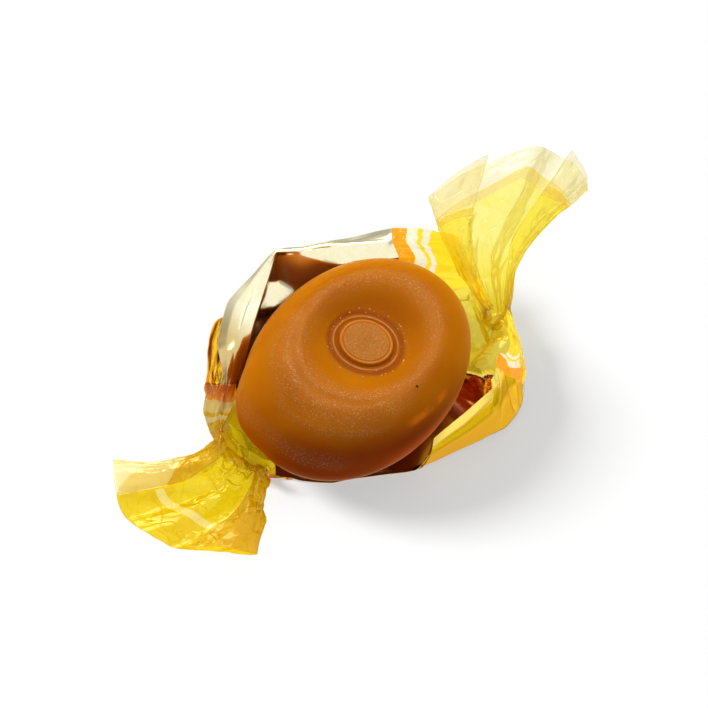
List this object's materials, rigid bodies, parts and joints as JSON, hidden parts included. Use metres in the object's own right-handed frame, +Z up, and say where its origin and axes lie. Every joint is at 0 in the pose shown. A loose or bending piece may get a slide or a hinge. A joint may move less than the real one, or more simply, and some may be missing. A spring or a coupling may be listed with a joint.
{
  "type": "boiled caramel candy on its opened twist wrapper",
  "caption": "Oval boiled caramel with a dished top and round boss, lying on an opened twist wrapper with metallised middle and flared clear yellow tails.",
  "frame": {"origin": "bottom centre of the bounding box", "axes": "+X runs from neck to neck of the wrapper, towards the raised tail; +Y towards the high side of the wrapper; +Z up, with the caramel's dished top upwards"},
  "size_m": [0.0592, 0.0244, 0.0125],
  "materials": {
    "caramel": "boiled sugar and butter, translucent orange brown, satin skin with a fine grain on the crest and boss",
    "film": "thin twist film, mirror metallised in the middle, gold outside and pale gold inside, with orange and clear bands and clear yellow tails"
  },
  "bodies": {
    "root": {"caramel": "caramel", "wrapper": "film"}
  },
  "joints": []
}
